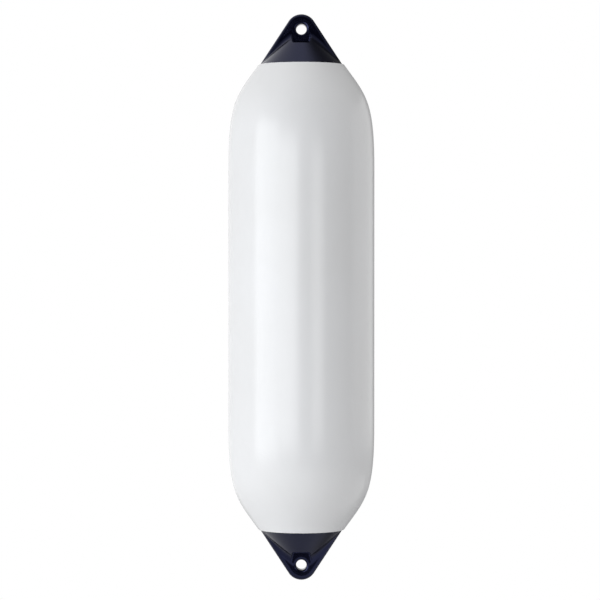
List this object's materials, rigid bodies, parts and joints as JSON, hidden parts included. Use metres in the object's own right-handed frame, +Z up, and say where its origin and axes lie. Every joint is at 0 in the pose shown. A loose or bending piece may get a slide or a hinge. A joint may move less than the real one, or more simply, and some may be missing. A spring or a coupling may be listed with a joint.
{
  "type": "boat fender",
  "caption": "Inflatable boat fender: a white cylindrical body with tapered shoulders and a navy moulded rope hold with a rope eye at each end.",
  "frame": {"origin": "centre of the upper rope eye, from which the fender hangs", "axes": "+Z up along the fender's long axis as it hangs; Y along both rope eyes, with the air valve at +Y, the back; +X to the right seen from the front"},
  "size_m": [0.15, 0.15, 0.58],
  "materials": {
    "white_vinyl": "satin",
    "navy_vinyl": "satin",
    "black_rubber": "matte"
  },
  "bodies": {
    "root": {"body": "white_vinyl", "upper_rope_hold": "navy_vinyl", "lower_rope_hold": "navy_vinyl", "air_valve": "black_rubber"}
  },
  "joints": []
}
